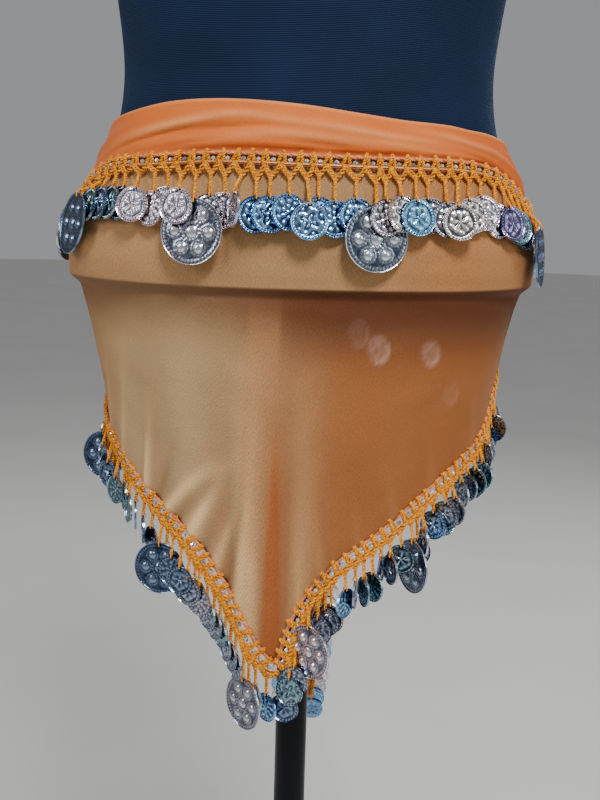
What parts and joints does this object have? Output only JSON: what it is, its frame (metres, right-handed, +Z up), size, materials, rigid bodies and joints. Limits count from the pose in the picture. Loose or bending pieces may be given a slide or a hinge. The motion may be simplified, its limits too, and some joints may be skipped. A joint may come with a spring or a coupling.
{
  "type": "belly dance hip scarf on dress form stand",
  "caption": "Triangular hip scarf of sheer crepe, its edges crocheted and hung with coins, tied round a limbless dress form on a round-footed stand.",
  "frame": {"origin": "middle of the base's underside", "axes": "+Z up along the pole; the scarf's point hangs on the -Y side and its knot is on the +Y side"},
  "size_m": [0.37, 0.37, 1.4583],
  "materials": {
    "crepe": "semi-sheer orange crepe with a fine crinkled grain and a soft sheen",
    "yarn": "golden orange plied yarn, crocheted, with a little shine",
    "silver_coin": "thin stamped costume coin, antique silver with dark hollows",
    "clear_bead": "small clear faceted bead",
    "gold_cord": "fine metallic gold cord",
    "ribbed_cover": "fine-ribbed stretch cover, dark navy, matt",
    "black_metal": "black enamel, semi-gloss",
    "black_plastic": "moulded black plastic, satin"
  },
  "bodies": {
    "root": {"stand_base": "black_metal", "stand_pole": "black_metal", "stand_collar": "black_metal", "form_flange": "black_metal", "form_torso": "ribbed_cover", "form_neck_cap": "black_plastic", "scarf_front_drape": "crepe", "scarf_front_flap": "crepe", "scarf_left_wrap": "crepe", "scarf_left_flap": "crepe", "scarf_right_wrap": "crepe", "scarf_right_flap": "crepe", "scarf_knot": "crepe", "scarf_left_end": "crepe", "scarf_right_end": "crepe", "trim_upper_front": "yarn", "trim_upper_left": "yarn", "trim_upper_right": "yarn", "trim_lower_left": "yarn", "trim_lower_right": "yarn", "trim_lower_back_left": "yarn", "trim_lower_back_right": "yarn", "trim_left_end_inner": "yarn", "trim_left_end_outer": "yarn", "trim_right_end_inner": "yarn", "trim_right_end_outer": "yarn"}
  },
  "joints": []
}
